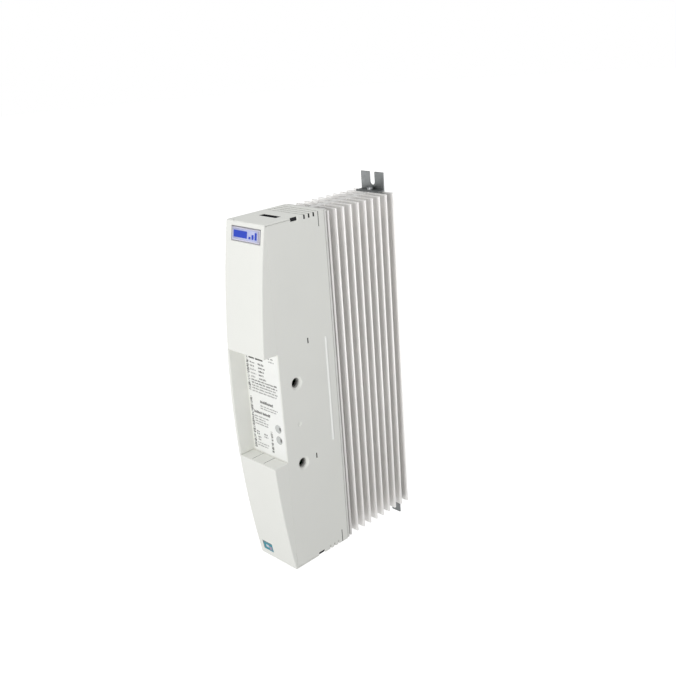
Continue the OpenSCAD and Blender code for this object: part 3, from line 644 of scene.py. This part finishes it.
def make_latch_and_painted_shade_faces():
    """Black faces of the latches in the release windows, and in each lug window of the side panel a black
    sheet of painted shade that stands for its dark inside.
    """
    low, high = (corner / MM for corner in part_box("release_latches"))
    inside, end = PANEL_SKIN - 1.7, PANEL_END
    bm = bmesh.new()
    # The last box is painted shade: a thin black sheet inside each lug window, in place of the dark inside of
    # the panel
    for side in (-1, 1):
        for x0, x1, y0, y1, z0, z1 in (
                (low.x, high.x, high.y - 0.4, high.y + 0.1, end - 2.2, end - 0.25),
                (low.x, low.x + 0.5, low.y + 0.3, high.y, end - 2.2, end - 0.4),
                (inside, inside + 0.3, -137.5, -129.5, end - 3.3, end - 0.3)):
            levels = sorted((side * z0, side * z1))
            add_box(bm, (x0, y0, levels[0]), (x1, y1, levels[1]))
    piece = new_piece("latch_and_painted_shade_faces", bm, LOOKS["black_plastic"], BODY_OF["release_latches"])
    round_edges(piece, 0.00008)


def add_tube(bm, x, centre, outer, inner, steps=40):
    """A closed tube along X; the centre is (y, z)."""
    rings = []
    for end, radius in ((x[0], outer), (x[1], outer), (x[1], inner), (x[0], inner)):
        turns = [2 * math.pi * i / steps for i in range(steps)]
        rings.append([bm.verts.new((end * MM, (centre[0] + radius * math.cos(t)) * MM,
                                    (centre[1] + radius * math.sin(t)) * MM)) for t in turns])
    join_rings(bm, rings + rings[:1])
    bmesh.ops.recalc_face_normals(bm, faces=bm.faces)


def make_painted_shade_linings():
    """Painted shade: dark linings a little below the surface in the narrow slots, and a grey sleeve in each
    port, standing for the shade inside them.
    """
    inside = PANEL_SKIN - 1.9
    panel, cover, ports = bmesh.new(), bmesh.new(), bmesh.new()
    notch, slit = (0.88, 4, (1,)), (0.38, 14.4, (-1, 1))  # half width, depth, and at which ends of the panel
    for y, (half, root, sides) in ((-121, notch), (-115.2, notch), (-109.4, notch), (-103.8, slit)):
        for side in sides:
            levels = sorted((side * (PANEL_END - root + 0.03), side * (PANEL_END - 0.3)))
            add_box(panel, (inside, y - half, levels[0]), (PANEL_SKIN - 0.12, y + half, levels[1]))
    sight_y, sight_z = 0.73, 2.78  # half sizes of the sight slots
    for y, z in ((-128.8, 56.5), (-129.8, -64)):
        add_box(panel, (inside, y - sight_y, z - sight_z), (PANEL_SKIN - 0.3, y + sight_y, z + sight_z))
    for z in (19.2, -65.2):
        # Painted shade: a grey sleeve inside each port's bore
        add_tube(ports, (PANEL_SKIN - 7.9, PANEL_SKIN - 2.8), (-147.4, z), outer=4.99, inner=4.8)
    tab_gap = 0.29
    for x in (-9, 7.7):
        add_box(cover, (x - tab_gap, -181.9, -58.8), (x + tab_gap, -167.8, -57.12))
    new_piece("panel_painted_shade", panel, LOOKS["black_plastic"], BODY_OF["side_panel"])
    new_piece("port_painted_shade", ports, LOOKS["shade_grey"], BODY_OF["side_panel"])
    new_piece("ledge_painted_shade", cover, LOOKS["black_plastic"], BODY_OF["lower_cover"])


def make_groove_bead():
    """A sloping bead along the long groove, which rises a little above the panel and catches the light; it
    wears the paler label film look instead of the casing white, as a painted highlight.
    """
    profile = ((-1.38, -107.78), (-0.6, -107.78), (0.5, -105.9),
               (0.5, -105.3), (-0.3, -105.3), (-1.38, -105.85))
    bm = bmesh.new()
    rings = [[bm.verts.new(((PANEL_SKIN + x) * MM, y * MM, z * MM)) for x, y in profile]
             for z in (-55.9, 53.9)]
    join_rings(bm, rings)
    bm.faces.new(rings[0])
    bm.faces.new(rings[1])
    bmesh.ops.recalc_face_normals(bm, faces=bm.faces)
    # Painted highlight: the bead takes the paler label film look so that it reads brighter than the panel
    piece = new_piece("groove_bead", bm, LOOKS["label_film"], BODY_OF["side_panel"])
    round_edges(piece, 0.00005)


def make_seam_lips():
    """A stepped lip along the front of the side panel, behind the gap to each cover."""
    low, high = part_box("side_panel")
    bm = bmesh.new()
    front = low.y / MM
    for bottom, top in ((54.4, 173), (-158, -57.4)):
        add_box(bm, (24.9, front - 0.27, bottom), (high.x / MM - 0.14, front + 0.04, top))
    piece = new_piece("seam_lips", bm, LOOKS["casing_white"], BODY_OF["side_panel"])
    round_edges(piece, 0.00006)


# ---------- what is rounded, and by how much ----------

def cover_widths(middle, direction):
    """The covers' outer edges along the bow and across the ends are rounder than the rest."""
    front = middle.y < -0.167
    rim = -0.1679 < middle.y < -0.1673
    outer_side = abs(middle.x) > COVER_SIDE - 0.0002
    outer_end = abs(direction.x) > 0.9 and abs(middle.z) > 0.1745
    ledge_slot = -0.0625 < middle.z < -0.0565 and abs(direction.x) < 0.5 and abs(middle.x) < 0.01
    if rim:
        return 0.1
    if front and (outer_side or outer_end):
        return 1.0
    return 0.04 if ledge_slot else 0.3


def bracket_widths(middle, direction):
    """The bends have a radius, the cut edges are only broken."""
    bend = abs(direction.x) > 0.9 and abs(middle.z) < 0.176 and middle.y > -0.003
    return 0.6 if bend else 0.3


REFINED = {  # the widest rounding in metres, and what varies it along the edges
    "housing_tray": (0.0003, None),
    "front_bulkhead": (0.0003, None),
    "side_panel": (0.0003, None),
    "upper_cover": (0.0011, cover_widths),
    "lower_cover": (0.0011, cover_widths),
    "badge_plate": (0.0002, None),
    "badge_mark": (0.0001, None),
    "lower_emblem": (0.0002, None),
    "rear_frame": (0.0003, None),
    "heatsink": (0.00025, None),
    "upper_bracket": (0.001, bracket_widths),
    "lower_bracket": (0.001, bracket_widths),
}
STAYING_WIDTH = 0.00012

make_camera()
LOOKS = make_looks()
make_studio()
for node, (width, wide) in REFINED.items():
    refined(node + "_moulding", node, width, wide)
for node in NODES:
    if node not in REFINED:
        soften_node(node, STAYING_WIDTH)
make_label_print()
make_badge_print()
make_latch_and_painted_shade_faces()
make_painted_shade_linings()
make_groove_bead()
make_seam_lips()
